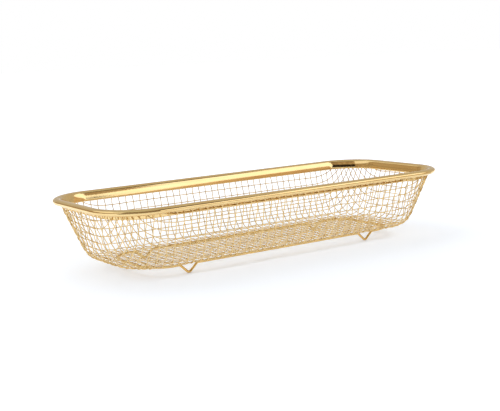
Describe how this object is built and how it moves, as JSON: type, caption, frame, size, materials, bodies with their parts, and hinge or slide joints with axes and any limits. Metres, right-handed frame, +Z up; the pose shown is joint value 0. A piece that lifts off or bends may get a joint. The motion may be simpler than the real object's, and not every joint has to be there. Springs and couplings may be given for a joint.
{
  "type": "serving basket",
  "caption": "Long low serving basket of woven gold wire cloth, with a folded sheet rim and a bent base wire that ends in V-shaped feet.",
  "frame": {"origin": "middle of the footprint, on the surface that the feet stand on", "axes": "+X along the basket's length, +Y across it, +Z up through the open mouth"},
  "size_m": [0.305, 0.125, 0.054],
  "materials": {
    "rim": "polished gold plate on folded sheet",
    "wire_cloth": "bright gold plate on woven wire",
    "base_wire": "bright gold plate on drawn wire"
  },
  "bodies": {
    "root": {"rim": "rim", "mesh_bowl": "wire_cloth", "base_wire": "base_wire"}
  },
  "joints": []
}
